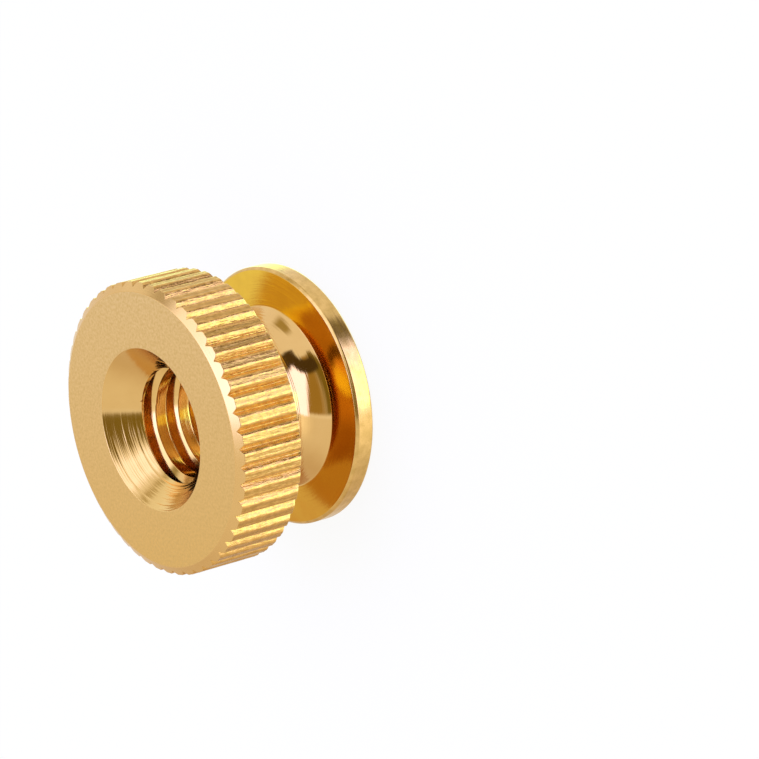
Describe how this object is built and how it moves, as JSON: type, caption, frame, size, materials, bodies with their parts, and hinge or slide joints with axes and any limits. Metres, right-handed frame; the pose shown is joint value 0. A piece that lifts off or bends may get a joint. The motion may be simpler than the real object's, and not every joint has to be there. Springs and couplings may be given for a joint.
{
  "type": "knurled thumb nut",
  "caption": "One-piece brass thumb nut: a straight-knurled head with a countersunk threaded bore, over a smooth grooved waist and a thin round flange.",
  "frame": {"origin": "centre of the flange's back face, which is the lowest point of the nut as it stands", "axes": "+Z along the bore from the flange to the knurled head, +X through the crest of one knurl tooth"},
  "size_m": [0.0136, 0.0134, 0.0081],
  "materials": {
    "brass": "fine turned brass, bright and uncoated, satin on the head's face and on the knurl"
  },
  "bodies": {
    "root": {"thumb_nut": "brass"}
  },
  "joints": []
}
